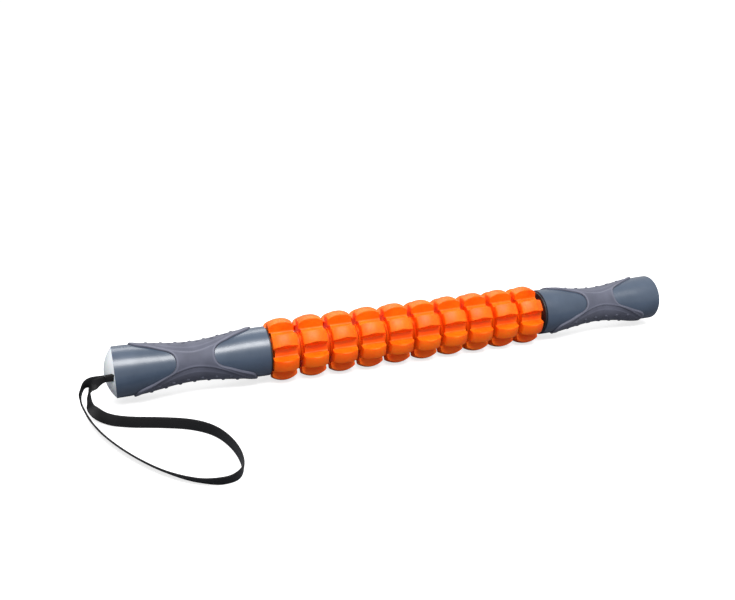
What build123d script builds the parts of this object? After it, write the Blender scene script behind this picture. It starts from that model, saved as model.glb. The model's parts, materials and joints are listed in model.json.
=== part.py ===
"""Roller massage stick: fluted rollers on a steel rod between two hourglass grips.

Frame: millimetres, +Z up, +X along the stick, origin on the floor below the
middle of the stick.  The stick lies on its rollers and the wrist strap leaves
the end cap at -X.
"""

from build123d import *
import math
import os

# ---- overall sizes ---------------------------------------------------------
ROLLER_COUNT = 10
ROLLER_RADIUS = 20.0          # over the lobes, at the crown
ROLLER_LENGTH = 15.9          # lobed body
GRIP_LENGTH = 92.7            # one handle, rim to rim
GRIP_END_RADIUS = 15.6
GRIP_WAIST_RADIUS = 11.9

# ---- rollers ---------------------------------------------------------------
LOBES = 7
CREST_HALF_ANGLE = 11.5       # degrees of crest each side of a lobe's middle
FLANK_ANGLE = 4.0             # degrees that each flank leans over
GROOVE_RADIUS = 13.4
CROWN_DROP = 2.6              # the crest falls this much towards each end
LOBE_EDGE_ROUND = 0.9
GROOVE_ROUND = 1.2
END_ROUND = 1.5
BOSS_RADIUS = 9.0
BOSS_LENGTH = 3.1
BOSS_ROOT = 2.0               # how far the boss reaches into the pocket
DRUM_WALL = 2.3               # groove floor to the pocket behind it
FACE_RECESS = 1.2             # the drum's left face lies this far behind the lobes' ends
FACE_RECESS_EDGE = 0.4        # the recess runs this far past the drum
HUB_LAND = 0.4                # hub face beyond the neighbour's boss
POCKET_DEPTH = 12.0
HUB_WALL = 3.0

# ---- rod and its fixings ---------------------------------------------------
ROD_RADIUS = 5.0
STUD_RADIUS = 4.0
STUD_LENGTH = 11.0
STUD_CHAMFER = 0.8
WASHER_RADIUS = 8.5
WASHER_THICKNESS = 1.5
NUT_FLATS = 13.0
NUT_HEIGHT = 6.5
NUT_CORNER_CUT = 0.5
NUT_CORNER_RADIUS = 7.02        # where the corners are turned off

# ---- clearances ------------------------------------------------------------
RUNNING_CLEARANCE = 0.1       # roller bore on the rod, each side
END_PLAY = 0.3                # between neighbouring rollers and collars
SEAT_CLEARANCE = 0.05         # collar, cap and handle on what they plug onto
WASHER_CLEARANCE = 0.15
THREAD_CLEARANCE = 0.02
STRAP_CLEARANCE = 0.2
SKIRT_GAP_SIDE = 1.4           # the cap's skirt stays this far from each side of the strap

# ---- thrust collars --------------------------------------------------------
COLLAR_RADIUS = 14.6
COLLAR_FLANGE = 1.2
COLLAR_SPIGOT_RADIUS = 11.8
COLLAR_SPIGOT_LENGTH = 5.0
COLLAR_EDGE_ROUND = 0.4

# ---- handle shell ----------------------------------------------------------
GRIP_RIM_LENGTH = 8.0         # nearly straight stretch at each end
GRIP_RIM_TAPER = 0.1
CAP_SEAT_RADIUS = 14.2
CAP_SEAT_DEPTH = 7.5
NUT_WELL_RADIUS = 10.3
NUT_WELL_DEPTH = 27.0
COLLAR_WELL_DEPTH = 18.0

# ---- overmoulded grip ------------------------------------------------------
GRIP_INLAY_DEPTH = 1.3        # how deep the rubber lies in the shell
GRIP_RAISE = 0.5              # how far it stands proud
GRIP_TURN_LEFT = 29.5         # degrees above the -Y side that a window faces
GRIP_TURN_RIGHT = 40.0
GRIP_TWIST = 2.2              # the window at -X turns down, the one at +X up
RIM_WINDOW_DEPTH = 35.7       # rim to the window's round tip
INNER_WINDOW_DEPTH = 33.8
WINDOW_HALF_WIDTH = 8.1       # where the sides straighten
WINDOW_ROUND = 8.0            # tip to where the sides straighten
WINDOW_MOUTH = 16.3           # half width where the arms end
RIM_ARM_MARGIN = 8.5          # rim to the arms' tips
INNER_ARM_MARGIN = 6.5
BAND_OVERRUN = 2.0            # stock beyond the arms' tips before the windows are cut

# ---- end caps --------------------------------------------------------------
CAP_RADIUS = 15.3
CAP_DOME = 5.7
CAP_WALL = 1.8
CAP_SKIRT_WALL = 1.4
CAP_SKIRT_LENGTH = 5.0

# ---- wrist strap -----------------------------------------------------------
STRAP_WIDTH = 6.5
STRAP_THICKNESS = 1.1
STRAP_LAYER_PITCH = 1.3
STRAP_LIFT = 1.0              # middle of the strap where it lies on the floor
TAB_WIDTH = 4.0
TAB_OUT = 5.5                 # how far the stitched tab stands out of the rim
TAB_Y = -13.0
TAB_RISE = 2.6                # above the axis
RETAINER_LENGTH = 4.0
RETAINER_DEPTH = 4.4
RETAINER_INSET = 0.9          # its outer side inside the tab's, to clear the handle's seat

CUT_OVERRUN = 1.0             # cutters run this far past the part they open

# ---- derived places --------------------------------------------------------
LOBE_PITCH = 360.0 / LOBES
ROLLER_PITCH = ROLLER_LENGTH + BOSS_LENGTH + END_PLAY
STACK_LENGTH = ROLLER_COUNT * ROLLER_PITCH + END_PLAY
GRIP_GAP = STACK_LENGTH + 2 * COLLAR_FLANGE
INNER_X = GRIP_GAP / 2        # where each handle begins, both sides
RIM_X = INNER_X + GRIP_LENGTH
NUT_SEAT_X = RIM_X - NUT_WELL_DEPTH
TAB_THICKNESS = STRAP_LAYER_PITCH + STRAP_THICKNESS
CAP_SPHERE = (CAP_RADIUS ** 2 + CAP_DOME ** 2) / (2 * CAP_DOME)


def save(part, name):
    """Write one node."""
    part.label = name
    export_step(part, f"parts/{name}.step")


def on_axis(part, x):
    """Move a part made about the X axis to its place on the stick."""
    return Pos(x, 0, AXIS_HEIGHT) * part


def rod_section(radius, length, x=0.0):
    """Cylinder along +X that starts at x."""
    standing = Cylinder(radius, length, align=(Align.CENTER, Align.CENTER, Align.MIN))
    return Pos(x, 0, 0) * (Rot(0, 90, 0) * standing)


def polar(radius, degrees):
    """Point of the roller's end view: y across, z up, 0 degrees straight down."""
    a = math.radians(degrees)
    return (radius * math.sin(a), -radius * math.cos(a))


# ---- rollers ---------------------------------------------------------------
def lobed_outline():
    """Closed end view of a roller, with a groove pointing straight down."""
    edges = []
    groove_half = LOBE_PITCH / 2 - CREST_HALF_ANGLE - FLANK_ANGLE
    for lobe in range(LOBES):
        middle = LOBE_PITCH * (lobe + 0.5)
        start = middle - CREST_HALF_ANGLE
        end = middle + CREST_HALF_ANGLE
        foot = end + FLANK_ANGLE
        edges.append(Line(polar(GROOVE_RADIUS, start - FLANK_ANGLE), polar(ROLLER_RADIUS, start)))
        edges.append(ThreePointArc(polar(ROLLER_RADIUS, start), polar(ROLLER_RADIUS, middle),
                                   polar(ROLLER_RADIUS, end)))
        edges.append(Line(polar(ROLLER_RADIUS, end), polar(GROOVE_RADIUS, foot)))
        edges.append(ThreePointArc(polar(GROOVE_RADIUS, foot), polar(GROOVE_RADIUS, foot + groove_half),
                                   polar(GROOVE_RADIUS, foot + 2 * groove_half)))
    face = make_face(Curve() + edges)
    corners = face.vertices()
    middle_radius = (ROLLER_RADIUS + GROOVE_RADIUS) / 2
    crests = [v for v in corners if math.hypot(v.X, v.Y) > middle_radius]
    face = fillet(crests, LOBE_EDGE_ROUND)
    floors = [v for v in face.vertices() if math.hypot(v.X, v.Y) < GROOVE_RADIUS + 0.05]
    return fillet(floors, GROOVE_ROUND)


# the roller stands on the two lobes beside the groove that points down
AXIS_HEIGHT = -lobed_outline().bounding_box().min.Y
TAB_Z = AXIS_HEIGHT + TAB_RISE


def barrel():
    """Crowned body that the lobes are cut from, about the X axis."""
    end = ROLLER_RADIUS - CROWN_DROP
    crown = ThreePointArc((0, end), (ROLLER_LENGTH / 2, ROLLER_RADIUS), (ROLLER_LENGTH, end))
    outline = Curve() + [crown, Polyline((ROLLER_LENGTH, end), (ROLLER_LENGTH, 0), (0, 0), (0, end))]
    face = make_face(outline)
    shoulders = [v for v in face.vertices() if v.Y > 1]
    return revolve(fillet(shoulders, END_ROUND), Axis.X)


def roller():
    """One roller, from its left face at x = 0."""
    across = Plane(origin=(0, 0, 0), x_dir=(0, 1, 0), z_dir=(1, 0, 0))
    lobes = extrude(across * lobed_outline(), ROLLER_LENGTH)
    body = lobes & barrel()
    pocket_start = ROLLER_LENGTH - POCKET_DEPTH
    hub_radius = ROD_RADIUS + HUB_WALL
    body -= (rod_section(GROOVE_RADIUS - DRUM_WALL, POCKET_DEPTH, pocket_start)
             - rod_section(hub_radius, POCKET_DEPTH, pocket_start))
    body -= (rod_section(GROOVE_RADIUS + FACE_RECESS_EDGE, FACE_RECESS)
             - rod_section(BOSS_RADIUS + HUB_LAND, FACE_RECESS))
    body += rod_section(BOSS_RADIUS, BOSS_ROOT + BOSS_LENGTH, ROLLER_LENGTH - BOSS_ROOT)
    body -= rod_section(ROD_RADIUS + RUNNING_CLEARANCE, ROLLER_LENGTH + BOSS_LENGTH + 2 * CUT_OVERRUN,
                        -CUT_OVERRUN)
    return body


# ---- rod and fixings -------------------------------------------------------
def core_rod():
    """Steel rod with a threaded stud at each end."""
    shank_half = NUT_SEAT_X - SEAT_CLEARANCE
    rod = rod_section(ROD_RADIUS, 2 * shank_half, -shank_half)
    for side in (-1, 1):
        start = shank_half if side > 0 else -shank_half - STUD_LENGTH
        stud = rod_section(STUD_RADIUS, STUD_LENGTH, start)
        tip = stud.edges().filter_by(GeomType.CIRCLE).sort_by(Axis.X)[-1 if side > 0 else 0]
        rod += chamfer(tip, STUD_CHAMFER)
    return rod


def washer():
    """Flat washer, lying from x = 0 towards the rim."""
    hole = rod_section(STUD_RADIUS + WASHER_CLEARANCE, WASHER_THICKNESS)
    return rod_section(WASHER_RADIUS, WASHER_THICKNESS) - hole


def nut():
    """Hexagon nut, from x = 0 towards the rim."""
    across = Plane(origin=(0, 0, 0), x_dir=(0, 1, 0), z_dir=(1, 0, 0))
    hexagon = RegularPolygon(NUT_FLATS / 2, 6, major_radius=False)
    body = extrude(across * hexagon, NUT_HEIGHT)
    turned = rod_section(NUT_CORNER_RADIUS, NUT_HEIGHT)
    body &= chamfer(turned.edges().filter_by(GeomType.CIRCLE), NUT_CORNER_CUT)
    return body - rod_section(STUD_RADIUS + THREAD_CLEARANCE, NUT_HEIGHT)


def collar():
    """Thrust collar at a handle's inner end: the flange faces the rollers at x < 0."""
    body = rod_section(COLLAR_RADIUS, COLLAR_FLANGE, -COLLAR_FLANGE)
    body = fillet(body.edges().sort_by(Axis.X)[0], COLLAR_EDGE_ROUND)
    body += rod_section(COLLAR_SPIGOT_RADIUS, COLLAR_SPIGOT_LENGTH)
    through = COLLAR_FLANGE + COLLAR_SPIGOT_LENGTH + 2 * CUT_OVERRUN
    return body - rod_section(ROD_RADIUS + SEAT_CLEARANCE, through, -COLLAR_FLANGE - CUT_OVERRUN)


# ---- handles, made with the rim at x = 0 and the inner end at +X ------------
def grip_skin(offset, start, end):
    """Hourglass body, offset from the handle's outer surface, between two places along it."""
    shoulder = GRIP_END_RADIUS - GRIP_RIM_TAPER
    middle = GRIP_LENGTH / 2
    outline = Spline((0, GRIP_END_RADIUS + offset), (GRIP_RIM_LENGTH, shoulder + offset),
                     (middle, GRIP_WAIST_RADIUS + offset),
                     (GRIP_LENGTH - GRIP_RIM_LENGTH, shoulder + offset),
                     (GRIP_LENGTH, GRIP_END_RADIUS + offset),
                     tangents=((1, 0), (1, 0)))
    face = make_face(Curve() + [outline, Polyline((GRIP_LENGTH, GRIP_END_RADIUS + offset), (GRIP_LENGTH, 0),
                                                  (0, 0), (0, GRIP_END_RADIUS + offset))])
    body = revolve(face, Axis.X)
    span = rod_section(2 * GRIP_END_RADIUS, end - start, start)
    return body & span


def window(tip, arm_margin):
    """Through cutter of a pair of opposite windows, open at x = 0, with a round tip."""
    side = [(tip, 0.0), (tip - 0.19 * WINDOW_ROUND, 0.55 * WINDOW_HALF_WIDTH),
            (tip - 0.5 * WINDOW_ROUND, 0.8 * WINDOW_HALF_WIDTH), (tip - WINDOW_ROUND, WINDOW_HALF_WIDTH),
            (tip - 1.9 * WINDOW_ROUND, 1.36 * WINDOW_HALF_WIDTH),
            (tip - 3.1 * WINDOW_ROUND, 1.8 * WINDOW_HALF_WIDTH), (arm_margin, WINDOW_MOUTH)]
    lower = [(x, -y) for x, y in reversed(side)]
    curve = Spline(*(lower + side[1:]))
    mouth = Polyline(side[-1], (-CUT_OVERRUN, WINDOW_MOUTH), (-CUT_OVERRUN, -WINDOW_MOUTH), lower[0])
    return extrude(make_face(Curve() + [curve, mouth]), 2 * GRIP_END_RADIUS, both=True)


def overmould():
    """X-shaped rubber grip: a waist ring with two pairs of arms."""
    band_start = RIM_ARM_MARGIN - BAND_OVERRUN
    band_end = GRIP_LENGTH - INNER_ARM_MARGIN + BAND_OVERRUN
    ring = grip_skin(GRIP_RAISE, band_start, band_end) - grip_skin(-GRIP_INLAY_DEPTH, 0, GRIP_LENGTH)
    from_inner_end = Pos(GRIP_LENGTH, 0, 0) * Rot(0, 0, 180)
    ring -= Rot(GRIP_TWIST, 0, 0) * window(RIM_WINDOW_DEPTH, RIM_ARM_MARGIN)
    ring -= Rot(-GRIP_TWIST, 0, 0) * from_inner_end * window(INNER_WINDOW_DEPTH, INNER_ARM_MARGIN)
    return ring


def handle_shell(rubber):
    """Hard shell with its bore, wells and the inlay for the rubber."""
    shell = grip_skin(0, 0, GRIP_LENGTH) - rubber
    shell -= rod_section(CAP_SEAT_RADIUS, CAP_SEAT_DEPTH)
    shell -= rod_section(NUT_WELL_RADIUS, NUT_WELL_DEPTH)
    shell -= rod_section(COLLAR_SPIGOT_RADIUS + SEAT_CLEARANCE, COLLAR_WELL_DEPTH,
                         GRIP_LENGTH - COLLAR_WELL_DEPTH)
    return shell - rod_section(ROD_RADIUS + SEAT_CLEARANCE, GRIP_LENGTH)


# ---- end caps, made with the rim plane at x = 0 and the dome at -X ----------
def end_cap():
    """Domed cap with a skirt that plugs into the handle."""
    centre = CAP_SPHERE - CAP_DOME
    skirt_outer = CAP_SEAT_RADIUS - SEAT_CLEARANCE
    skirt_inner = skirt_outer - CAP_SKIRT_WALL
    outside = Pos(centre, 0, 0) * Sphere(CAP_SPHERE)
    inside = Pos(centre, 0, 0) * Sphere(CAP_SPHERE - CAP_WALL)
    dome = outside & rod_section(2 * CAP_RADIUS, CAP_SPHERE, -CAP_SPHERE)
    hollow = inside & rod_section(skirt_inner, CAP_SPHERE, -CAP_SPHERE)
    skirt = rod_section(skirt_outer, CAP_SKIRT_LENGTH) - rod_section(skirt_inner, CAP_SKIRT_LENGTH)
    return dome - hollow + skirt


def strap_slot():
    """Cutter through the left cap's dome and skirt, in the cap's own place."""
    width = TAB_WIDTH + 2 * STRAP_CLEARANCE
    depth = TAB_THICKNESS + 2 * STRAP_CLEARANCE
    through = Pos(0, TAB_Y, TAB_RISE) * Box(2 * CAP_SPHERE, depth, width)
    gap_width = TAB_WIDTH + 2 * SKIRT_GAP_SIDE
    skirt_gap = Box(CAP_SKIRT_LENGTH, CAP_SEAT_RADIUS, gap_width)
    skirt_gap = Pos(CAP_SKIRT_LENGTH / 2, -CAP_SEAT_RADIUS, TAB_RISE) * skirt_gap
    return through + skirt_gap


# ---- wrist strap -----------------------------------------------------------
def strap_tab():
    """Stitched end of the strap, from the retainer out through the cap."""
    return Pos(-RIM_X - TAB_OUT / 2, TAB_Y, TAB_Z) * Box(TAB_OUT, TAB_THICKNESS, TAB_WIDTH)


def strap_retainer():
    """Block on the strap's end, wider than the slot that holds it in the cap."""
    outer = TAB_Y - TAB_THICKNESS / 2 + RETAINER_INSET
    middle = outer + RETAINER_DEPTH / 2
    return Pos(-RIM_X + RETAINER_LENGTH / 2, middle, TAB_Z) * Box(RETAINER_LENGTH, RETAINER_DEPTH, TAB_WIDTH)


def strap_route():
    """Points of the strap loop: out of the tab, round the floor and back."""
    root_x = -RIM_X - TAB_OUT
    upper = TAB_Y + STRAP_LAYER_PITCH / 2
    lower = TAB_Y - STRAP_LAYER_PITCH / 2
    floor = STRAP_LIFT
    return [
        (root_x, upper, TAB_Z),
        (root_x - 7.5, upper + 0.4, TAB_Z - 0.7),
        (root_x - 12.4, upper + 1.0, TAB_Z - 5.4),
        (root_x - 13.6, upper - 0.2, TAB_Z - 12.6),
        (-207.6, -20.0, floor + 1.8),
        (-204.2, -31.0, floor),
        (-196.5, -49.0, floor),
        (-184.7, -72.0, floor),
        (-171.5, -92.5, floor),
        (-158.0, -107.5, floor),
        (-145.5, -114.5, floor),
        (-136.0, -109.5, floor),
        (-133.7, -96.0, floor),
        (-135.5, -79.0, floor),
        (-141.5, -62.0, floor),
        (-153.0, -50.0, floor),
        (-170.0, -42.0, floor),
        (-186.5, -34.0, floor),
        (-197.8, -24.8, floor + 1.0),
        (root_x - 8.8, -17.0, TAB_Z - 17.0),
        (root_x - 11.2, lower - 0.2, TAB_Z - 11.5),
        (root_x - 9.8, lower + 0.1, TAB_Z - 5.2),
        (root_x - 4.5, lower, TAB_Z - 0.8),
        (root_x, lower, TAB_Z),
    ]


def strap():
    """Flat strap, straight runs joined by tangent arcs, that leaves the tab on its edge."""
    points = [Vector(*p) for p in strap_route()]
    radii = []
    for before, here, after in zip(points, points[1:], points[2:]):
        turn = math.radians((here - before).get_angle(after - here))
        shorter = min((here - before).length, (after - here).length)
        radii.append(0.45 * shorter / math.tan(turn / 2))
    print("strap radii", [round(r, 1) for r in radii])
    path = FilletPolyline(*points, radius=radii)
    on_edge = Plane(origin=points[0], x_dir=(0, 0, 1), z_dir=points[1] - points[0])
    band = sweep(on_edge * Rectangle(STRAP_WIDTH, STRAP_THICKNESS), path=path)
    print("strap length", round(path.length, 1), "volume ratio",
          round(band.volume / (STRAP_WIDTH * STRAP_THICKNESS * path.length), 3))
    return band


# ---- assembly --------------------------------------------------------------
def write_rollers():
    """The rollers side by side, pushed towards the left collar."""
    body = roller()
    first = -STACK_LENGTH / 2 + END_PLAY
    for number in range(ROLLER_COUNT):
        save(on_axis(body, first + number * ROLLER_PITCH), f"roller_{number + 1:02d}")


def write_handles():
    """Left and right handle, each turned about the rod to its own angle."""
    rubber = overmould()
    shell = handle_shell(rubber)
    sides = (("left", GRIP_TURN_LEFT, False), ("right", GRIP_TURN_RIGHT, True))
    for side, turn, flipped in sides:
        facing = Rot(0, 0, 180) if flipped else Rot(0, 0, 0)
        rim = RIM_X if flipped else -RIM_X
        # a window of the handle as made faces +Z and -Z
        place = Pos(rim, 0, AXIS_HEIGHT) * Rot(90 - turn, 0, 0) * facing
        save(place * rubber, f"grip_overmould_{side}")
        save(place * shell, f"handle_shell_{side}")


def write_ends():
    """Collars, nuts, washers and caps at both ends."""
    for side, sign in (("left", -1), ("right", 1)):
        outwards = Rot(0, 0, 0) if sign > 0 else Rot(0, 0, 180)
        inwards = Rot(0, 0, 180) if sign > 0 else Rot(0, 0, 0)
        save(on_axis(outwards * collar(), sign * INNER_X), f"thrust_collar_{side}")
        save(on_axis(outwards * washer(), sign * NUT_SEAT_X), f"rod_washer_{side}")
        save(on_axis(outwards * nut(), sign * (NUT_SEAT_X + WASHER_THICKNESS)), f"rod_nut_{side}")
        cap = end_cap()
        if sign < 0:
            cap -= strap_slot()
        save(on_axis(inwards * cap, sign * RIM_X), f"end_cap_{side}")


def main():
    os.makedirs("parts", exist_ok=True)
    save(on_axis(core_rod(), 0), "core_rod")
    write_rollers()
    write_handles()
    write_ends()
    save(strap_tab(), "strap_tab")
    save(strap_retainer(), "strap_retainer")
    save(strap(), "wrist_strap")


main()
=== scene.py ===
"""Roller massage stick: finishes, moulded rubber grips and wrist strap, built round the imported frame."""

import json
import logging
import math
from dataclasses import dataclass, field
from enum import Enum

import bmesh
import bpy
from mathutils import Matrix, Vector
from mathutils.bvhtree import BVHTree
from mathutils.kdtree import KDTree


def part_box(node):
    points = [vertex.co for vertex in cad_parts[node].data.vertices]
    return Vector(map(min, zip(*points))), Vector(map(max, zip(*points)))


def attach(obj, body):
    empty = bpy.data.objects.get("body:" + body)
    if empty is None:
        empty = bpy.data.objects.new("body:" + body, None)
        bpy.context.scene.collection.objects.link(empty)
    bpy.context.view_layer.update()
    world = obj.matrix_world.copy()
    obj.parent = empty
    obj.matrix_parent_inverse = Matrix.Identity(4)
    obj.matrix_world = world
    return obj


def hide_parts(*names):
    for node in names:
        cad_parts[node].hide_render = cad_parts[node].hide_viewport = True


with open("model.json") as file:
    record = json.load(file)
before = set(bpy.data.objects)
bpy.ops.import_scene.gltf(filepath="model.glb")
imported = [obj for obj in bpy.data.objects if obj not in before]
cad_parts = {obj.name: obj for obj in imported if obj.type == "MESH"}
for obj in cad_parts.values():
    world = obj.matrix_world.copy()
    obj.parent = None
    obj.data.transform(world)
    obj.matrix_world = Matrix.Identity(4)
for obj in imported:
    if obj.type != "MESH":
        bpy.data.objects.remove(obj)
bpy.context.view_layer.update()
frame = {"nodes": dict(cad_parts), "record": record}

MM = 0.001
LOG = logging.getLogger("massage_stick")


class Side(Enum):
    """End of the stick; the value is its direction along X."""

    LEFT = -1
    RIGHT = 1

    @property
    def tag(self) -> str:
        """Name of this end as the nodes use it."""
        return self.name.lower()


def smooth_step(low: float, high: float, value: float) -> float:
    """Ease from 0 at low to 1 at high.

    Args:
        low: Value at and below which the result is 0.
        high: Value at and above which the result is 1.
        value: Value to ease.

    Returns:
        A number from 0 to 1.
    """
    share = min(1.0, max(0.0, (value - low) / (high - low)))
    return share * share * (3.0 - 2.0 * share)


def bell(distance: float, width: float) -> float:
    """Height of a rounded bead.

    Args:
        distance: Distance from the bead's middle.
        width: Distance at which the bead has fallen to about a third.

    Returns:
        A number from 0 to 1.
    """
    return math.exp(-((distance / width) ** 2))


def new_piece(name: str, bm: bmesh.types.BMesh, smooth: bool = True) -> bpy.types.Object:
    """Turn a bmesh into an object at the origin.

    Args:
        name: Name of the piece.
        bm: Mesh to use; it is freed.
        smooth: Whether faces are shaded smooth.

    Returns:
        The linked object.
    """
    mesh = bpy.data.meshes.new(name)
    bm.to_mesh(mesh)
    bm.free()
    mesh.shade_smooth() if smooth else mesh.shade_flat()
    piece = bpy.data.objects.new(name, mesh)
    bpy.context.scene.collection.objects.link(piece)
    return piece


# ---- finishes ----------------------------------------------------------------
class NodeSheet:
    """Node tree of one material, with short calls to add and join nodes."""

    def __init__(self, name: str) -> None:
        """Start a material with only its shader and output.

        Args:
            name: Name of the material.
        """
        self.material = bpy.data.materials.new(name)
        self.material.use_nodes = True
        self.tree = self.material.node_tree
        self.shader = self.tree.nodes["Principled BSDF"]
        self.place = self.add("ShaderNodeTexCoord").outputs["Object"]

    def add(self, kind: str, **inputs: object) -> bpy.types.Node:
        """Add a node.

        Args:
            kind: Blender's node type.
            inputs: Socket values or links, by socket name with _ for a space.

        Returns:
            The new node.
        """
        node = self.tree.nodes.new(kind)
        for key, value in inputs.items():
            self.join(value, node.inputs[key.replace("_", " ")])
        return node

    def join(self, value: object, socket: bpy.types.NodeSocket) -> None:
        """Set a socket to a value, or link it when the value is an output.

        Args:
            value: Number, colour or output socket.
            socket: Input to set.
        """
        if isinstance(value, bpy.types.NodeSocket):
            self.tree.links.new(value, socket)
        else:
            socket.default_value = value

    def noise(self, scale: float, detail: float = 3.0, place: object = None) -> bpy.types.NodeSocket:
        """Noise over the piece's own coordinates.

        Args:
            scale: Cells in a metre.
            detail: Octaves of finer noise.
            place: Other coordinates to use.

        Returns:
            The noise value.
        """
        node = self.add("ShaderNodeTexNoise", Vector=place or self.place, Scale=scale, Detail=detail)
        return node.outputs["Fac"]

    def ramp(self, value: object, stops: list[tuple[float, tuple]]) -> bpy.types.NodeSocket:
        """Colour ramp.

        Args:
            value: Place on the ramp, from 0 to 1.
            stops: Place and colour of each stop.

        Returns:
            The ramp's colour.
        """
        node = self.add("ShaderNodeValToRGB", Fac=value)
        while len(node.color_ramp.elements) < len(stops):
            node.color_ramp.elements.new(0.5)
        for element, (position, colour) in zip(node.color_ramp.elements, stops):
            element.position = position
            element.color = (*colour, 1.0)
        return node.outputs["Color"]

    def span(self, value: object, low: float, high: float) -> bpy.types.NodeSocket:
        """Map a value from 0..1 to low..high.

        Args:
            value: Value to map.
            low: Result at 0.
            high: Result at 1.

        Returns:
            The mapped value.
        """
        node = self.add("ShaderNodeMapRange", Value=value, To_Min=low, To_Max=high)
        return node.outputs["Result"]

    def maths(self, how: str, first: object, second: object = 0.0) -> bpy.types.NodeSocket:
        """Arithmetic on two values.

        Args:
            how: Blender's name of the operation.
            first: First value.
            second: Second value.

        Returns:
            The result.
        """
        node = self.tree.nodes.new("ShaderNodeMath")
        node.operation = how
        self.join(first, node.inputs[0])
        self.join(second, node.inputs[1])
        return node.outputs[0]

    def bump(self, height: object, depth: float, strength: float = 1.0,
             below: object = None) -> bpy.types.NodeSocket:
        """Bump from a height.

        Args:
            height: Height, from 0 to 1.
            depth: Depth of the bump in metres.
            strength: Share of the bump to use.
            below: Normal that it goes on top of.

        Returns:
            The bumped normal.
        """
        node = self.add("ShaderNodeBump", Height=height, Distance=depth, Strength=strength)
        if below is not None:
            self.join(below, node.inputs["Normal"])
        return node.outputs["Normal"]

    def shade(self, **inputs: object) -> bpy.types.Material:
        """Set the shader's sockets.

        Args:
            inputs: Socket values or links, by socket name with _ for a space.

        Returns:
            The finished material.
        """
        for key, value in inputs.items():
            self.join(value, self.shader.inputs[key.replace("_", " ")])
        return self.material


@dataclass(frozen=True)
class RollerOrange:
    """Satin orange moulding that glows a little where the wall is thin."""

    deep: tuple = (0.98, 0.105, 0.0004)
    bright: tuple = (1.0, 0.150, 0.0020)

    def build(self) -> bpy.types.Material:
        """Build the material.

        Returns:
            The finished material.
        """
        sheet = NodeSheet("roller_orange")
        drift = sheet.noise(60.0, 4.0)
        colour = sheet.ramp(drift, [(0.32, self.deep), (0.62, self.bright)])
        grain = sheet.noise(5200.0, 3.0)
        swirl = sheet.noise(320.0, 2.0)
        normal = sheet.bump(grain, 0.00003, 0.35)
        normal = sheet.bump(swirl, 0.00012, 0.30, normal)
        return sheet.shade(Base_Color=colour, Roughness=sheet.span(swirl, 0.36, 0.50), Normal=normal,
                           Subsurface_Weight=0.30, Subsurface_Scale=0.0020,
                           Subsurface_Radius=(1.0, 0.18, 0.02), Specular_IOR_Level=0.22)


@dataclass(frozen=True)
class ShellPlastic:
    """Slate blue-grey satin moulding of the handles."""

    dark: tuple = (0.036, 0.055, 0.088)
    light: tuple = (0.054, 0.077, 0.116)

    def build(self) -> bpy.types.Material:
        """Build the material.

        Returns:
            The finished material.
        """
        sheet = NodeSheet("shell_plastic")
        cloud = sheet.noise(55.0, 5.0)
        colour = sheet.ramp(cloud, [(0.30, self.dark), (0.70, self.light)])
        grain = sheet.noise(4200.0, 3.0)
        rub = sheet.noise(240.0, 4.0)
        normal = sheet.bump(grain, 0.00003, 0.45)
        normal = sheet.bump(rub, 0.00010, 0.22, normal)
        return sheet.shade(Base_Color=colour, Roughness=sheet.span(rub, 0.26, 0.40), Normal=normal,
                           Coat_Weight=0.30, Coat_Roughness=0.24, Specular_IOR_Level=0.60)


@dataclass(frozen=True)
class GripRubber:
    """Matte purple-grey rubber; the beads carry a painted highlight, a lighter colour with a lower
    roughness.
    """

    dark: tuple = (0.062, 0.066, 0.094)
    light: tuple = (0.092, 0.097, 0.134)
    # painted highlight: the lighter colour laid along the beads
    highlight_colour: tuple = (0.140, 0.146, 0.195)

    def build(self) -> bpy.types.Material:
        """Build the material.

        Returns:
            The finished material.
        """
        sheet = NodeSheet("grip_rubber")
        cloud = sheet.noise(90.0, 5.0)
        base = sheet.ramp(cloud, [(0.30, self.dark), (0.72, self.light)])
        # per-vertex share of the beads' painted highlight, mixed over the base colour
        painted_highlight = sheet.add("ShaderNodeAttribute")
        painted_highlight.attribute_name = "painted_highlight"
        mix = sheet.add("ShaderNodeMix")
        mix.data_type = "RGBA"
        sheet.join(painted_highlight.outputs["Fac"], mix.inputs["Factor"])
        sheet.join(base, mix.inputs["A"])
        sheet.join((*self.highlight_colour, 1.0), mix.inputs["B"])
        grain = sheet.noise(3600.0, 4.0)
        soft = sheet.noise(500.0, 3.0)
        normal = sheet.bump(grain, 0.00006, 0.60)
        normal = sheet.bump(soft, 0.00010, 0.18, normal)
        rough = sheet.span(painted_highlight.outputs["Fac"], 0.66, 0.46)
        return sheet.shade(Base_Color=mix.outputs["Result"], Roughness=rough, Normal=normal,
                           Sheen_Weight=0.12, Sheen_Roughness=0.5, Specular_IOR_Level=0.40)


@dataclass(frozen=True)
class CapPlastic:
    """Pale grey-blue moulding of the end caps, with a fine ring grain."""

    shadow: tuple = (0.68, 0.71, 0.73)
    pale: tuple = (0.79, 0.82, 0.84)

    def build(self) -> bpy.types.Material:
        """Build the material.

        Returns:
            The finished material.
        """
        sheet = NodeSheet("cap_plastic")
        colour = sheet.ramp(sheet.noise(120.0, 4.0), [(0.30, self.shadow), (0.65, self.pale)])
        grain = sheet.noise(3800.0, 3.0)
        return sheet.shade(Base_Color=colour, Roughness=sheet.span(sheet.noise(300.0), 0.34, 0.5),
                           Normal=sheet.bump(grain, 0.00004, 0.5), Subsurface_Weight=0.08,
                           Subsurface_Scale=0.001)


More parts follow.
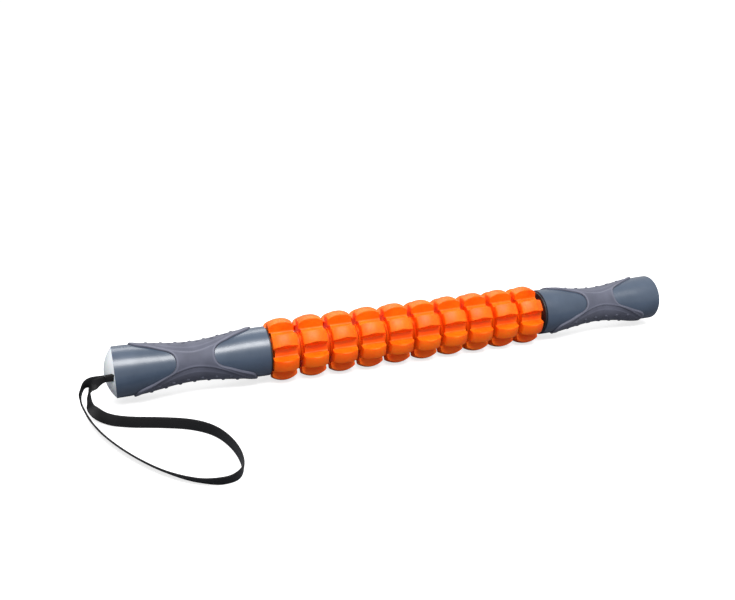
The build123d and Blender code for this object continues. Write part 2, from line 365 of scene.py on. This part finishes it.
@dataclass(frozen=True)
class BlackNylon:
    """Black nylon with a faint fibre grain."""

    dark: tuple = (0.006, 0.006, 0.007)
    light: tuple = (0.020, 0.020, 0.022)

    def build(self) -> bpy.types.Material:
        """Build the material.

        Returns:
            The finished material.
        """
        sheet = NodeSheet("black_nylon")
        colour = sheet.ramp(sheet.noise(700.0, 5.0), [(0.35, self.dark), (0.7, self.light)])
        return sheet.shade(Base_Color=colour, Roughness=sheet.span(sheet.noise(900.0), 0.38, 0.58),
                           Normal=sheet.bump(sheet.noise(2500.0), 0.00005, 0.5))


@dataclass(frozen=True)
class DrawnSteel:
    """Bright drawn steel with lines along the rod."""

    dull: tuple = (0.42, 0.42, 0.44)
    bright: tuple = (0.66, 0.66, 0.68)

    def build(self) -> bpy.types.Material:
        """Build the material.

        Returns:
            The finished material.
        """
        sheet = NodeSheet("drawn_steel")
        stretch = sheet.add("ShaderNodeMapping", Vector=sheet.place, Scale=(8.0, 900.0, 900.0))
        lines = sheet.noise(3.0, 4.0, stretch.outputs["Vector"])
        colour = sheet.ramp(lines, [(0.3, self.dull), (0.7, self.bright)])
        return sheet.shade(Base_Color=colour, Metallic=1.0, Roughness=sheet.span(lines, 0.22, 0.38),
                           Normal=sheet.bump(lines, 0.00002, 0.4))


@dataclass(frozen=True)
class StrapWebbing:
    """Black flat webbing: a fine twill that follows the strap's own length and width."""

    dark: tuple = (0.0015, 0.0015, 0.0018)
    light: tuple = (0.0045, 0.0045, 0.0055)
    picks_along: float = 380.0
    ends_across: float = 9.0

    def build(self) -> bpy.types.Material:
        """Build the material.

        Returns:
            The finished material.
        """
        sheet = NodeSheet("strap_webbing")
        chart = sheet.add("ShaderNodeUVMap")
        parts = sheet.add("ShaderNodeSeparateXYZ", Vector=chart.outputs["UV"])
        turn = 2.0 * math.pi
        pick = sheet.maths("MULTIPLY", parts.outputs["X"], self.picks_along * turn)
        end = sheet.maths("MULTIPLY", parts.outputs["Y"], 2.0 * self.ends_across * turn)
        weft = sheet.maths("SINE", sheet.maths("ADD", pick, end))
        warp = sheet.maths("SINE", sheet.maths("SUBTRACT", pick, end))
        weave = sheet.span(sheet.maths("MAXIMUM", weft, warp), 0.15, 1.0)
        fuzz = sheet.noise(2600.0, 4.0)
        height = sheet.maths("MULTIPLY_ADD", weave, 0.8)
        sheet.join(sheet.maths("MULTIPLY", fuzz, 0.4), height.node.inputs[2])
        colour = sheet.ramp(weave, [(0.15, self.dark), (0.95, self.light)])
        return sheet.shade(Base_Color=colour, Roughness=sheet.span(fuzz, 0.50, 0.68),
                           Normal=sheet.bump(height, 0.00012, 0.55), Sheen_Weight=0.04,
                           Sheen_Roughness=0.35, Specular_IOR_Level=0.30)


class FinishBook:
    """Every material, built once, by the record's slot name."""

    def __init__(self) -> None:
        """Build all finishes."""
        self.by_slot: dict[str, bpy.types.Material] = {
            "roller_plastic": RollerOrange().build(),
            "shell_plastic": ShellPlastic().build(),
            "grip_rubber": GripRubber().build(),
            "cap_plastic": CapPlastic().build(),
            "black_plastic": BlackNylon().build(),
            "steel": DrawnSteel().build(),
            "strap_webbing": StrapWebbing().build(),
        }

    def dress_nodes(self) -> None:
        """Give every node of the frame the finish of its own slot."""
        for row in frame["record"]["subparts"]:
            mesh = frame["nodes"][row["node"]].data
            mesh.materials.clear()
            mesh.materials.append(self.by_slot[row["material_slot"]])

    def dress(self, piece: bpy.types.Object, slot: str) -> None:
        """Give a new piece the finish of its slot.

        Args:
            piece: Piece to finish.
            slot: The record's slot name.
        """
        piece.data.materials.append(self.by_slot[slot])


# ---- rubber grips ------------------------------------------------------------
@dataclass
class RubberGrip:
    """X-shaped rubber moulding of one handle: a waist band, four pointed arms, beads and nubs.

    Angles are degrees round the rod: 0 faces -Y and 90 faces up.
    """

    side: Side
    turn: float
    twist: float = 2.2
    raise_in_cad: float = 0.5 * MM
    waist_radius: float = 11.9 * MM
    shoulder_radius: float = 15.55 * MM
    shoulder_reach: float = 41.5 * MM
    seat: float = 0.42 * MM
    tip_gap: float = 0.9 * MM
    tip_round: float = 3.2 * MM
    wall: float = 1.7 * MM
    panel_lift: float = 0.50 * MM
    band_lift: float = 0.95 * MM
    bead_lift: float = 0.26 * MM
    bead_width: float = 0.50 * MM
    bow_bead: float = 0.6
    bow_bead_out: float = 0.45 * MM
    bow_bead_width: float = 0.55 * MM
    second_bead: float = 0.4
    rim_bead: float = 0.7
    rim_bead_in: float = 0.85 * MM
    step_half_width: float = 0.35 * MM
    edge_round: float = 0.75 * MM
    bow_half_angle: float = 67.0
    bow_reach: float = 38.0 * MM
    bow_power: float = 1.7
    second_bow_drop: float = 15.0
    second_bow_fade: float = 12.0
    nub_pitch: float = 8.7 * MM
    nub_radius: float = 1.10 * MM
    nub_flatness: float = 0.5
    nub_row_angle: float = 24.0
    arm_rows: int = 58
    waist_rows: int = 34
    columns: int = 84
    halvings: int = 16
    merge_distance: float = 0.004 * MM
    surface: BVHTree = field(init=False)
    rims: KDTree = field(init=False)

    def __post_init__(self) -> None:
        """Read the moulding's place from the frame."""
        node = frame["nodes"][f"grip_overmould_{self.side.tag}"]
        corners = [v.co.copy() for v in node.data.vertices]
        faces = [tuple(p.vertices) for p in node.data.polygons]
        self.surface = BVHTree.FromPolygons(corners, faces)
        low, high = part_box(f"handle_shell_{self.side.tag}")
        self.middle = (low[0] + high[0]) / 2
        rod_low, rod_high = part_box("core_rod")
        self.axis_height = (rod_low[2] + rod_high[2]) / 2
        self.panel = self.turn - 90.0

    def skin(self, along: float) -> float:
        """Radius of the handle's outer surface.

        Args:
            along: Place along the stick.

        Returns:
            The radius there.
        """
        share = min(1.0, abs(along - self.middle) / self.shoulder_reach)
        swell = (1.0 - math.cos(math.pi * share)) / 2
        return self.waist_radius + (self.shoulder_radius - self.waist_radius) * swell

    def place(self, along: float, angle: float, radius: float) -> Vector:
        """Point on or round the handle.

        Args:
            along: Place along the stick.
            angle: Degrees round it.
            radius: Distance from the rod's axis.

        Returns:
            The point.
        """
        turned = math.radians(angle)
        return Vector((along, -radius * math.cos(turned), self.axis_height + radius * math.sin(turned)))

    def is_rubber(self, along: float, angle: float) -> bool:
        """Whether the rubber covers a place.

        Args:
            along: Place along the stick.
            angle: Degrees round it.

        Returns:
            True where the frame's moulding stands over the skin.
        """
        start = self.place(along, angle, 2 * self.shoulder_radius)
        inwards = (self.place(along, angle, 0.0) - start).normalized()
        reach = 2 * self.shoulder_radius - self.skin(along) + 0.5 * self.raise_in_cad
        return self.surface.ray_cast(start, inwards, reach)[0] is not None

    def last_rubber(self, inside: float, outside: float, fixed: float, along_x: bool) -> float:
        """Where the rubber ends between a covered and a bare place.

        Args:
            inside: Covered place, in metres along the stick or degrees round it.
            outside: Bare place.
            fixed: The other coordinate.
            along_x: Whether inside and outside are along the stick.

        Returns:
            The place of the edge.
        """
        for _ in range(self.halvings):
            half = (inside + outside) / 2
            covered = self.is_rubber(half, fixed) if along_x else self.is_rubber(fixed, half)
            inside, outside = (half, outside) if covered else (inside, half)
        return inside

    def find_rows(self) -> None:
        """Read the arms' tips and the windows' round tips from the frame."""
        reach = self.shoulder_reach + 4 * MM
        self.arm_tips = {}
        self.window_tips = {}
        for way in (-1, 1):
            far = self.middle + way * reach
            cad_tip = self.last_rubber(self.middle, far, self.panel, True)
            self.arm_tips[way] = cad_tip - way * self.tip_gap
            window = self.turn + way * self.twist
            self.window_tips[way] = self.last_rubber(self.middle, far, window, True)

    def rows(self) -> list[float]:
        """Places of the mesh's rows, closest together at each tip.

        Returns:
            Places along the stick, from the -X tips to the +X tips.
        """
        places = []
        spans = ((self.arm_tips[-1], self.window_tips[-1], self.arm_rows),
                 (self.window_tips[-1], self.window_tips[1], self.waist_rows),
                 (self.window_tips[1], self.arm_tips[1], self.arm_rows))
        for start, end, count in spans:
            for step in range(count):
                share = step / count
                if count == self.arm_rows:
                    share = (1 - math.cos(math.pi * share)) / 2
                places.append(start + (end - start) * share)
        return places + [self.arm_tips[1]]

    def seam(self, along: float) -> float:
        """Line down the middle of the waist band, from window tip to window tip.

        Args:
            along: Place along the stick.

        Returns:
            Its angle there.
        """
        low, high = self.window_tips[-1], self.window_tips[1]
        share = min(1.0, max(0.0, (along - low) / (high - low)))
        return self.turn + self.twist * (2 * share - 1)

    def edges(self, along: float) -> tuple[float, float]:
        """Lower and upper edge of the lower panel's rubber in one row.

        Args:
            along: Place along the stick.

        Returns:
            Both angles, which meet at the arms' tips.
        """
        seam = self.seam(along)
        if self.window_tips[-1] <= along <= self.window_tips[1]:
            return seam - 180.0, seam
        way = 1 if along > self.middle else -1
        from_window = abs(along - self.window_tips[way])
        from_tip = abs(self.arm_tips[way] - along)
        inset = math.degrees(self.seat / self.skin(along)) * smooth_step(0.0, 1.0 * MM, from_window)
        upper = self.last_rubber(self.panel, seam, along, False) - inset
        lower = self.last_rubber(self.panel, seam - 180.0, along, False) + inset
        short = 1.0 - min(1.0, from_tip / self.tip_round)
        rounding = math.sqrt(1.0 - short ** 2)
        return (self.panel + min(0.0, lower - self.panel) * rounding,
                self.panel + max(0.0, upper - self.panel) * rounding)

    def bow(self, along: float) -> float:
        """Half angle of the leaf-shaped nub panel.

        Args:
            along: Place along the stick.

        Returns:
            Degrees from the panel's middle to its bow.
        """
        share = min(1.0, abs(along - self.middle) / self.bow_reach)
        return self.bow_half_angle * (1.0 - share ** self.bow_power)

    def lift(self, along: float, angle: float, rim: float) -> tuple[float, float]:
        """Height of the rubber over the handle's skin.

        Args:
            along: Place along the stick.
            angle: Degrees from the middle of the nub panel.
            rim: Distance to the rubber's edge.

        Returns:
            The height, and the share of painted highlight at that place, from 0 to 1.
        """
        per_degree = math.radians(1.0) * self.skin(along)
        bow = self.bow(along)
        out = (abs(angle) - bow) * per_degree
        drop = self.second_bow_drop * (0.55 + 0.45 * bow / self.bow_half_angle)
        second = (abs(angle) - max(0.0, bow - drop)) * per_degree
        step = smooth_step(-self.step_half_width, self.step_half_width, out)
        height = self.panel_lift + (self.band_lift - self.panel_lift) * step
        bow_bead = self.bow_bead * bell(out - self.bow_bead_out, self.bow_bead_width)
        second_bead = self.second_bead * bell(second, self.bead_width)
        second_bead *= smooth_step(0.0, self.second_bow_fade, bow - drop)
        rim_bead = self.rim_bead * bell(rim - self.rim_bead_in, self.bead_width)
        bead = max(bow_bead, second_bead, rim_bead)
        height += self.bead_lift * bead
        if rim < self.edge_round:
            short = self.edge_round - rim
            height -= self.edge_round - math.sqrt(self.edge_round ** 2 - short ** 2)
        # the beads' painted highlight share, faded out near the rubber's edge
        return height, bead * smooth_step(0.2 * MM, 0.6 * MM, rim)

    def chart_rims(self, rows: list[float], edges: list[tuple[float, float]]) -> None:
        """Store points along the edges of both panels, to measure distances from.

        Args:
            rows: Places along the stick.
            edges: Lower and upper edge angle of each row.
        """
        points = []
        for way in (-1, 1):
            outside = [(a, e) for a, e in zip(rows, edges) if (a - self.window_tips[way]) * way >= -1e-9]
            for which in (0, 1):
                line = [self.place(a, e[which], self.skin(a)) for a, e in outside]
                for first, second in zip(line, line[1:]):
                    points += [first.lerp(second, share / 4) for share in range(4)]
        self.rims = KDTree(2 * len(points))
        half_turn = Matrix.Translation((0, 0, self.axis_height)) @ Matrix.Rotation(math.pi, 4, "X")
        half_turn = half_turn @ Matrix.Translation((0, 0, -self.axis_height))
        for number, point in enumerate(points):
            self.rims.insert(point, 2 * number)
            self.rims.insert(half_turn @ point, 2 * number + 1)
        self.rims.balance()

    def add_panel(self, bm: bmesh.types.BMesh, rows: list[float], edges: list[tuple[float, float]],
                  opposite: bool) -> None:
        """Shape a flat grid into one half of the moulding.

        Args:
            bm: Mesh to add to.
            rows: Places along the stick, one for each grid row.
            edges: Lower and upper edge angle of each row.
            opposite: Whether this is the half on the far side of the rod.
        """
        painted_highlight = bm.verts.layers.float["painted_highlight"]
        made = bmesh.ops.create_grid(bm, x_segments=len(rows) - 1, y_segments=self.columns, size=0.5)
        for vert in made["verts"]:
            row = min(len(rows) - 1, round((vert.co.x + 0.5) * (len(rows) - 1)))
            across = min(1.0, max(0.0, vert.co.y + 0.5))
            across = 0.55 * across + 0.45 * (1 - math.cos(math.pi * across)) / 2
            lower, upper = edges[row]
            angle = lower + (upper - lower) * across
            along = rows[row]
            rim = self.rims.find(self.place(along, angle, self.skin(along)))[2]
            height, highlight_share = self.lift(along, angle - self.panel, rim)
            if opposite:
                angle += 180.0
            vert.co = self.place(along, angle, self.skin(along) + height)
            # store the painted highlight share on the vertex
            vert[painted_highlight] = highlight_share

    def thicken(self, bm: bmesh.types.BMesh) -> None:
        """Give the moulding its wall, inwards to the rod's axis.

        Args:
            bm: Mesh of its outer surface.
        """
        made = bmesh.ops.extrude_face_region(bm, geom=bm.faces[:], use_keep_orig=True)
        for vert in made["geom"]:
            if isinstance(vert, bmesh.types.BMVert):
                inwards = Vector((0.0, -vert.co.y, self.axis_height - vert.co.z)).normalized()
                vert.co += inwards * self.wall
        bmesh.ops.recalc_face_normals(bm, faces=bm.faces)

    def add_nubs(self, bm: bmesh.types.BMesh) -> None:
        """Set three staggered rows of nubs on each of the two panels.

        Args:
            bm: Mesh to add to.
        """
        painted_highlight = bm.verts.layers.float["painted_highlight"]
        half_steps = ((1, range(-5, 6, 2)), (0, range(-6, 7, 2)), (-1, range(-5, 6, 2)))
        for row, steps in half_steps:
            for step in steps:
                along = self.middle + step * self.nub_pitch / 2
                height, _ = self.lift(along, row * self.nub_row_angle, 5 * MM)
                for half in (0.0, 180.0):
                    angle = self.panel + row * self.nub_row_angle + half
                    made = bmesh.ops.create_icosphere(bm, subdivisions=3, radius=self.nub_radius)
                    flat = Matrix.Diagonal((1.0, 1.0, self.nub_flatness, 1.0))
                    outwards = self.place(along, angle, 1.0) - self.place(along, angle, 0.0)
                    aim = outwards.to_track_quat("Z", "Y").to_matrix().to_4x4()
                    seat = Matrix.Translation(self.place(along, angle, self.skin(along) + height))
                    bmesh.ops.transform(bm, matrix=seat @ aim @ flat, verts=made["verts"])
                    # nubs get no painted highlight
                    for vert in made["verts"]:
                        vert[painted_highlight] = 0.0

    def build(self, finishes: FinishBook) -> bpy.types.Object:
        """Make the moulding, in place of the frame's plain one.

        Args:
            finishes: Where its rubber comes from.

        Returns:
            The finished piece.
        """
        self.find_rows()
        rows = self.rows()
        edges = [self.edges(along) for along in rows]
        self.chart_rims(rows, edges)
        bm = bmesh.new()
        # layer for the painted highlight on the beads
        bm.verts.layers.float.new("painted_highlight")
        for opposite in (False, True):
            self.add_panel(bm, rows, edges, opposite)
        bmesh.ops.remove_doubles(bm, verts=bm.verts, dist=self.merge_distance)
        self.thicken(bm)
        self.add_nubs(bm)
        piece = new_piece(f"rubber_grip_{self.side.tag}", bm)
        finishes.dress(piece, "grip_rubber")
        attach(piece, "root")
        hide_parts(f"grip_overmould_{self.side.tag}")
        return piece


# ---- wrist strap ---------------------------------------------------------------
@dataclass
class WristStrap:
    """Flat strap that leaves the left cap on its edge, loops over the floor and comes back."""

    width: float = 6.5 * MM
    tab_width: float = 4.0 * MM
    thickness: float = 1.1 * MM
    layer_pitch: float = 1.3 * MM
    around: int = 20
    side_power: float = 0.35
    face_power: float = 0.55
    widen_over: float = 9 * MM
    closest_points: float = 0.2 * MM
    merge_distance: float = 0.002 * MM
    twist_smoothing: int = 3
    tab_side_round: float = 0.45 * MM
    first_stitch: float = 0.9 * MM
    stitch_length: float = 0.9 * MM
    stitch_width: float = 0.28 * MM
    stitch_stand: float = 0.5 * MM
    stitch_pitch: float = 1.25 * MM
    stitch_row_pitch: float = 1.1 * MM
    stitches: int = 4

    def __post_init__(self) -> None:
        """Read the strap's exit from the frame."""
        low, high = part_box("strap_tab")
        self.exit = Vector((low[0], (low[1] + high[1]) / 2, (low[2] + high[2]) / 2))

    def stations(self) -> list[tuple[Vector, Vector]]:
        """Route of the strap's middle line.

        Returns:
            Each point in metres, with the way that the width lies there.
        """
        root_x, tab_z = self.exit.x / MM, self.exit.z / MM
        upper = (self.exit.y + self.layer_pitch / 2) / MM
        lower = (self.exit.y - self.layer_pitch / 2) / MM
        route = [
            ((root_x, upper, tab_z), (0.0, 0.0, 1.0)),
            ((root_x - 7.5, upper + 0.4, tab_z - 0.7), (-0.1, 0.0, 1.0)),
            ((root_x - 13.9, upper + 1.0, tab_z - 5.4), (-0.20, -0.80, 0.40)),
            ((root_x - 15.2, upper - 0.2, tab_z - 12.6), (-0.00, -0.78, 0.63)),
            ((-208.4, -21.0, 4.4), (-0.25, -0.35, 0.90)),
            ((-205.4, -32.0, 3.2), (-0.42, -0.19, 0.89)),
            ((-198.8, -50.5, 2.8), (-0.53, -0.24, 0.81)),
            ((-187.2, -74.0, 2.7), (-0.58, -0.34, 0.74)),
            ((-173.5, -94.5, 2.6), (-0.57, -0.42, 0.71)),
            ((-159.0, -109.0, 2.8), (-0.36, -0.50, 0.78)),
            ((-145.5, -114.5, 3.1), (0.05, -0.42, 0.90)),
            ((-136.0, -109.5, 3.3), (0.18, -0.10, 0.98)),
            ((-133.7, -96.0, 3.4), (0.12, 0.05, 0.99)),
            ((-135.5, -79.0, 3.4), (0.10, 0.05, 0.99)),
            ((-141.5, -62.0, 3.4), (0.05, 0.12, 0.99)),
            ((-153.0, -50.0, 3.4), (0.05, 0.18, 0.98)),
            ((-170.0, -42.0, 3.4), (0.05, 0.20, 0.98)),
            ((-186.5, -36.0, 3.4), (0.05, 0.25, 0.96)),
            ((-198.2, -28.4, 3.5), (0.15, 0.50, 0.84)),
            ((root_x - 9.2, -18.0, tab_z - 16.6), (0.28, 0.88, 0.35)),
            ((root_x - 10.2, lower - 0.2, tab_z - 11.0), (0.30, 0.95, -0.10)),
            ((root_x - 9.4, lower + 0.1, tab_z - 5.2), (0.10, 0.90, 0.35)),
            ((root_x - 4.5, lower, tab_z - 0.8), (-0.15, 0.20, 0.95)),
            ((root_x, lower, tab_z), (0.0, 0.0, 1.0)),
        ]
        return [(Vector(point) * MM, Vector(width).normalized()) for point, width in route]

    def centre_line(self) -> list[Vector]:
        """One smooth spline through the route.

        Returns:
            Its points, from the cap and back to it.
        """
        curve = bpy.data.curves.new("strap_line", "CURVE")
        curve.dimensions = "3D"
        curve.resolution_u = 16
        spline = curve.splines.new("NURBS")
        route = self.stations()
        spline.points.add(len(route) - 1)
        for control, (point, _) in zip(spline.points, route):
            control.co = (*point, 1.0)
        spline.order_u = 3
        spline.use_endpoint_u = True
        holder = bpy.data.objects.new("strap_line", curve)
        bpy.context.scene.collection.objects.link(holder)
        bpy.context.view_layer.update()
        line = bpy.data.meshes.new_from_object(holder)
        points = [v.co.copy() for v in line.vertices]
        bpy.data.objects.remove(holder)
        bpy.data.curves.remove(curve)
        bpy.data.meshes.remove(line)
        kept = [points[0]]
        for point in points[1:]:
            if (point - kept[-1]).length > self.closest_points:
                kept.append(point)
        return kept

    def width_ways(self, line: list[Vector]) -> list[Vector]:
        """Way of the strap's width along its line.

        Args:
            line: Points of the line.

        Returns:
            A direction for each point, square to the line.
        """
        route = self.stations()
        marks = []
        first = 0
        for point, _ in route:
            nearest = min(range(first, len(line)), key=lambda i: (line[i] - point).length
                          + 0.02 * (i - first) * MM)
            marks.append(nearest)
            first = nearest
        marks[-1] = len(line) - 1
        ways = []
        for number in range(len(line)):
            after = next(i for i, mark in enumerate(marks) if mark >= number)
            before = max(0, after - 1)
            gap = max(1, marks[after] - marks[before])
            share = smooth_step(0.0, 1.0, (number - marks[before]) / gap)
            way = route[before][1].lerp(route[after][1], share)
            along = line[min(number + 1, len(line) - 1)] - line[max(number - 1, 0)]
            along.normalize()
            ways.append((way - along * way.dot(along)).normalized())
        for _ in range(self.twist_smoothing):
            ways = [(ways[max(i - 1, 0)] + ways[i] + ways[min(i + 1, len(ways) - 1)]).normalized()
                    for i in range(len(ways))]
        return ways

    def section(self, share: float, wide: float) -> tuple[float, float]:
        """Point of the strap's flat, round-edged section.

        Args:
            share: How far round the section, from 0 to 1.
            wide: Width of the strap there.

        Returns:
            Distances along the width and along the thickness.
        """
        turned = 2 * math.pi * share
        cosine, sine = math.cos(turned), math.sin(turned)
        across = math.copysign(abs(cosine) ** self.side_power, cosine) * wide / 2
        through = math.copysign(abs(sine) ** self.face_power, sine) * self.thickness / 2
        return across, through

    def build_loop(self, finishes: FinishBook) -> bpy.types.Object:
        """Make the loop from its line.

        Args:
            finishes: Where its webbing comes from.

        Returns:
            The finished piece.
        """
        line = self.centre_line()
        ways = self.width_ways(line)
        lengths = [0.0]
        for first, second in zip(line, line[1:]):
            lengths.append(lengths[-1] + (second - first).length)
        total = lengths[-1]
        bm = bmesh.new()
        bm.loops.layers.uv.new("strap")
        made = bmesh.ops.create_grid(bm, x_segments=len(line) - 1, y_segments=self.around, size=0.5,
                                     calc_uvs=True)
        for vert in made["verts"]:
            number = min(len(line) - 1, round((vert.co.x + 0.5) * (len(line) - 1)))
            from_end = min(lengths[number], total - lengths[number])
            grown = smooth_step(0.0, self.widen_over, from_end)
            wide = self.tab_width + (self.width - self.tab_width) * grown
            across, through = self.section(vert.co.y + 0.5, wide)
            along = line[min(number + 1, len(line) - 1)] - line[max(number - 1, 0)]
            face = along.normalized().cross(ways[number])
            vert.co = line[number] + ways[number] * across + face * through
        bmesh.ops.remove_doubles(bm, verts=bm.verts, dist=self.merge_distance)
        bmesh.ops.holes_fill(bm, edges=[e for e in bm.edges if e.is_boundary], sides=0)
        bmesh.ops.recalc_face_normals(bm, faces=bm.faces)
        piece = new_piece("strap_loop", bm)
        finishes.dress(piece, "strap_webbing")
        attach(piece, "root")
        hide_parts("wrist_strap")
        return piece

    def build_tab(self, finishes: FinishBook) -> bpy.types.Object:
        """Make the stitched tab: two layers of webbing with a bar of stitches through them.

        Args:
            finishes: Where its webbing comes from.

        Returns:
            The finished piece.
        """
        low, high = (Vector(corner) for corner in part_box("strap_tab"))
        centre = (low + high) / 2
        size = high - low
        bm = bmesh.new()
        bm.loops.layers.uv.new("strap")
        for layer in (-1, 1):
            made = bmesh.ops.create_cube(bm, size=1.0, calc_uvs=True)
            stock = Matrix.Diagonal((size.x, self.thickness, self.tab_width, 1.0))
            shift = Matrix.Translation(centre + Vector((0, layer * self.layer_pitch / 2, 0)))
            bmesh.ops.transform(bm, matrix=shift @ stock, verts=made["verts"])
            edges = [e for e in bm.edges if e.verts[0] in made["verts"]]
            bmesh.ops.bevel(bm, geom=edges, offset=self.tab_side_round, segments=3, profile=0.5,
                            affect="EDGES", material=-1)
        for row in (-1, 0, 1):
            for step in range(self.stitches):
                made = bmesh.ops.create_icosphere(bm, subdivisions=2, radius=0.5)
                through = size.y + self.stitch_stand
                stitch = Matrix.Diagonal((self.stitch_length, through, self.stitch_width, 1.0))
                along = low.x + self.first_stitch + self.stitch_pitch * step
                spot = Vector((along, centre.y, centre.z + row * self.stitch_row_pitch))
                bmesh.ops.transform(bm, matrix=Matrix.Translation(spot) @ stitch, verts=made["verts"])
        piece = new_piece("strap_stitched_tab", bm)
        finishes.dress(piece, "strap_webbing")
        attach(piece, "root")
        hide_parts("strap_tab")
        return piece


# ---- studio --------------------------------------------------------------------
@dataclass(frozen=True)
class SoftBox:
    """Wide soft light that hangs over the stick."""

    name: str
    place: tuple
    size: float
    power: float
    target: tuple = (0.0, 0.0, 0.02)

    def hang(self) -> None:
        """Put the light in the scene."""
        light = bpy.data.lights.new(self.name, "AREA")
        light.shape = "RECTANGLE"
        light.size = self.size
        light.size_y = self.size * 0.5
        light.energy = self.power
        holder = bpy.data.objects.new(self.name, light)
        aim = (Vector(self.target) - Vector(self.place)).to_track_quat("-Z", "Y")
        holder.matrix_world = Matrix.Translation(self.place) @ aim.to_matrix().to_4x4()
        bpy.context.scene.collection.objects.link(holder)


@dataclass
class Studio:
    """White floor, soft lights and the camera."""

    eye: tuple = (-0.20063, -0.47196, 0.23240)
    heading: tuple = (0.31938, 0.88055, -0.35019)
    lens: float = 40.51
    floor_size: float = 60.0
    floor_seen: tuple = (0.50, 0.50, 0.505)
    floor_bounce: tuple = (0.16, 0.17, 0.20)
    floor_glow: float = 0.72
    sky_light: float = 0.66
    lights: tuple[SoftBox, ...] = (SoftBox("key", (-0.05, -0.60, 1.12), 1.0, 21.0),
                                   SoftBox("back", (0.1, 0.9, 0.9), 0.9, 5.0))

    def add_floor(self) -> None:
        """Lay the floor just under the rollers: white to the camera, dim in what it throws back."""
        bm = bmesh.new()
        bmesh.ops.create_grid(bm, x_segments=1, y_segments=1, size=self.floor_size / 2)
        bmesh.ops.translate(bm, vec=(0, 0, -0.05 * MM), verts=bm.verts)
        floor = new_piece("studio_floor", bm, smooth=False)
        sheet = NodeSheet("studio_floor")
        seen = sheet.add("ShaderNodeLightPath").outputs["Is Camera Ray"]
        tone = sheet.ramp(seen, [(0.0, self.floor_bounce), (1.0, self.floor_seen)])
        glow = sheet.span(seen, 0.0, self.floor_glow)
        floor.data.materials.append(sheet.shade(Base_Color=tone, Roughness=0.85, Specular_IOR_Level=0.0,
                                                Emission_Color=(1.0, 1.0, 1.0, 1.0), Emission_Strength=glow))

    def add_sky(self) -> None:
        """Even white light from all round, brighter where the camera sees it than on the stick."""
        world = bpy.data.worlds.new("studio_sky")
        world.use_nodes = True
        back = world.node_tree.nodes["Background"]
        back.inputs["Color"].default_value = (1.0, 1.0, 1.0, 1.0)
        nodes, links = world.node_tree.nodes, world.node_tree.links
        span = nodes.new("ShaderNodeMapRange")
        span.inputs["To Min"].default_value = self.sky_light
        span.inputs["To Max"].default_value = 1.0
        links.new(nodes.new("ShaderNodeLightPath").outputs["Is Camera Ray"], span.inputs["Value"])
        links.new(span.outputs["Result"], back.inputs["Strength"])
        bpy.context.scene.world = world

    def add_camera(self) -> None:
        """Stand the camera in front of the left handle, looking along and down."""
        camera = bpy.data.cameras.new("camera")
        camera.lens = self.lens
        camera.sensor_width = 36.0
        camera.clip_end = 200.0
        holder = bpy.data.objects.new("camera", camera)
        aim = Vector(self.heading).to_track_quat("-Z", "Y")
        holder.matrix_world = Matrix.Translation(self.eye) @ aim.to_matrix().to_4x4()
        bpy.context.scene.collection.objects.link(holder)
        bpy.context.scene.camera = holder

    def build(self) -> None:
        """Set up everything that isn't the stick."""
        bpy.context.scene.view_settings.view_transform = "Standard"
        self.add_floor()
        self.add_sky()
        for light in self.lights:
            light.hang()
        self.add_camera()


def main() -> None:
    """Build every piece in order and report it."""
    logging.basicConfig(level=logging.INFO, format="%(name)s: %(message)s")
    finishes = FinishBook()
    finishes.dress_nodes()
    LOG.info("finishes: %s", ", ".join(finishes.by_slot))
    Studio().build()
    strap = WristStrap()
    for piece in (strap.build_loop(finishes), strap.build_tab(finishes)):
        LOG.info("%s: %d faces", piece.name, len(piece.data.polygons))
    for side, turn in ((Side.LEFT, 29.5), (Side.RIGHT, 40.0)):
        piece = RubberGrip(side, turn).build(finishes)
        LOG.info("%s: %d faces", piece.name, len(piece.data.polygons))


if __name__ == "__main__":
    main()
